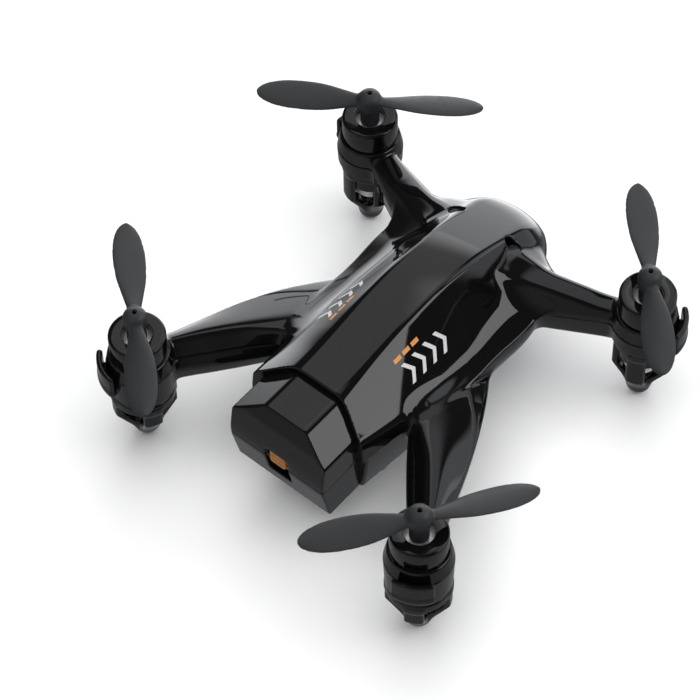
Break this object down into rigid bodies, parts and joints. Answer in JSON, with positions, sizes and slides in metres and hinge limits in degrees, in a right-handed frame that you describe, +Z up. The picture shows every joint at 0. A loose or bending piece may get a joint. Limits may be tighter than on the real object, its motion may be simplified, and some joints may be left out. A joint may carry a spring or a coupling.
{
  "type": "mini quadcopter drone",
  "caption": "Palm-sized quadcopter: gloss two-part shell, caged motor pods with feet and guard clips, spinning two-blade propellers and a sliding power switch.",
  "frame": {"origin": "on the floor, midway between the four feet", "axes": "+Z up, +Y towards the nose, -Y towards the rear module with the power switch, +X towards the right-hand side"},
  "size_m": [0.0874, 0.088, 0.0325],
  "materials": {
    "shell_plastic": "high-gloss moulded black",
    "propeller_plastic": "fine matte, dark grey",
    "can_steel": "nickel-plated, drawn",
    "bright_steel": "bright, ground",
    "bell_plastic": "natural white nylon",
    "lead_insulation": "extruded PVC",
    "cell_lead_insulation": "extruded PVC",
    "cell_foil": "satin laminated foil",
    "foam": "open-cell foam tape",
    "board_laminate": "green solder mask",
    "chip_resin": "moulded epoxy",
    "crystal_can": "satin lid",
    "lamp_resin": "phosphor resin",
    "lens_plastic": "smoked clear plastic",
    "knob_plastic": "amber, satin",
    "switch_case": "folded tin-plated",
    "socket_plastic": "natural nylon"
  },
  "bodies": {
    "airframe": {"battery_cell": "cell_foil", "battery_leads": "cell_lead_insulation", "battery_pad": "foam", "case_screws": "bright_steel", "charge_socket": "socket_plastic", "crystal": "crystal_can", "eye_lamps": "lamp_resin", "eye_lenses": "lens_plastic", "flight_board": "board_laminate", "gyro_chip": "chip_resin", "lower_shell": "shell_plastic", "motor_can_front_left": "can_steel", "motor_can_front_right": "can_steel", "motor_can_rear_left": "can_steel", "motor_can_rear_right": "can_steel", "motor_cap_front_left": "shell_plastic", "motor_cap_front_right": "shell_plastic", "motor_cap_rear_left": "shell_plastic", "motor_cap_rear_right": "shell_plastic", "motor_drivers": "chip_resin", "motor_end_bell_front_left": "bell_plastic", "motor_end_bell_front_right": "bell_plastic", "motor_end_bell_rear_left": "bell_plastic", "motor_end_bell_rear_right": "bell_plastic", "motor_leads_front_left": "lead_insulation", "motor_leads_front_right": "lead_insulation", "motor_leads_rear_left": "lead_insulation", "motor_leads_rear_right": "lead_insulation", "motor_pod_front_left": "shell_plastic", "motor_pod_front_right": "shell_plastic", "motor_pod_rear_left": "shell_plastic", "motor_pod_rear_right": "shell_plastic", "power_switch_body": "switch_case", "power_switch_pins": "bright_steel", "processor_chip": "chip_resin", "radio_chip": "chip_resin", "rear_module_cover": "shell_plastic", "rear_module_tray": "shell_plastic", "upper_shell": "shell_plastic"},
    "rotor_front_left": {"propeller_front_left": "propeller_plastic", "motor_shaft_front_left": "bright_steel"},
    "rotor_front_right": {"propeller_front_right": "propeller_plastic", "motor_shaft_front_right": "bright_steel"},
    "rotor_rear_right": {"propeller_rear_right": "propeller_plastic", "motor_shaft_rear_right": "bright_steel"},
    "rotor_rear_left": {"propeller_rear_left": "propeller_plastic", "motor_shaft_rear_left": "bright_steel"},
    "switch_knob": {"power_switch_knob": "knob_plastic"}
  },
  "joints": [
    {"name": "rotor_spin_front_left", "type": "hinge", "parent": "airframe", "child": "rotor_front_left", "pos_m": [-0.029, 0.029, 0.0305], "axis": [0, 0, 1], "continuous": true},
    {"name": "rotor_spin_front_right", "type": "hinge", "parent": "airframe", "child": "rotor_front_right", "pos_m": [0.029, 0.029, 0.0305], "axis": [0, 0, 1], "continuous": true},
    {"name": "rotor_spin_rear_right", "type": "hinge", "parent": "airframe", "child": "rotor_rear_right", "pos_m": [0.029, -0.029, 0.0305], "axis": [0, 0, 1], "continuous": true},
    {"name": "rotor_spin_rear_left", "type": "hinge", "parent": "airframe", "child": "rotor_rear_left", "pos_m": [-0.029, -0.029, 0.0305], "axis": [0, 0, 1], "continuous": true},
    {"name": "power_switch_slide", "type": "slide", "parent": "airframe", "child": "switch_knob", "axis": [0, 0, -1], "range_m": [0, 0.002]}
  ]
}
